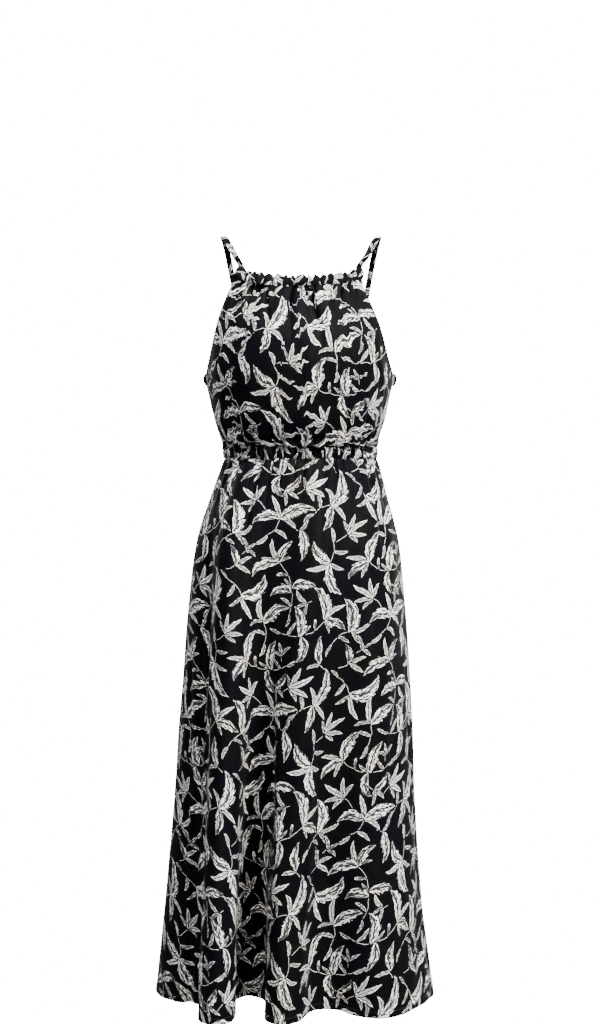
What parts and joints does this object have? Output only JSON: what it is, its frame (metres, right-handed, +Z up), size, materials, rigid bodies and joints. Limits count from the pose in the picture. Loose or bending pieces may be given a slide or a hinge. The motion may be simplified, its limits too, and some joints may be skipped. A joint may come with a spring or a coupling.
{
  "type": "strappy gathered midi dress",
  "caption": "Sleeveless midi dress worn hollow: thin straps, gathered elastic neck, back and waist casings, bloused bodice, flared skirt in soft folds.",
  "frame": {"origin": "midway between the undersides of the two straps where they cross the shoulders", "axes": "+Z up, the front faces -Y, +X towards the wearer's left side"},
  "size_m": [0.439, 0.4032, 1.1929],
  "materials": {
    "printed_cloth": "light plain-weave viscose crepe, matt with a faint sheen, black ground with an ivory leaf print",
    "printed_casing": "the same printed cloth, doubled and ruched over narrow elastic",
    "printed_strap": "the same printed cloth, folded into a narrow flat strap"
  },
  "bodies": {
    "root": {"front_bodice": "printed_cloth", "back_bodice": "printed_cloth", "front_neck_casing": "printed_casing", "back_top_casing": "printed_casing", "strap_left": "printed_strap", "strap_right": "printed_strap", "waist_casing": "printed_casing", "front_skirt": "printed_cloth", "back_skirt": "printed_cloth"}
  },
  "joints": []
}
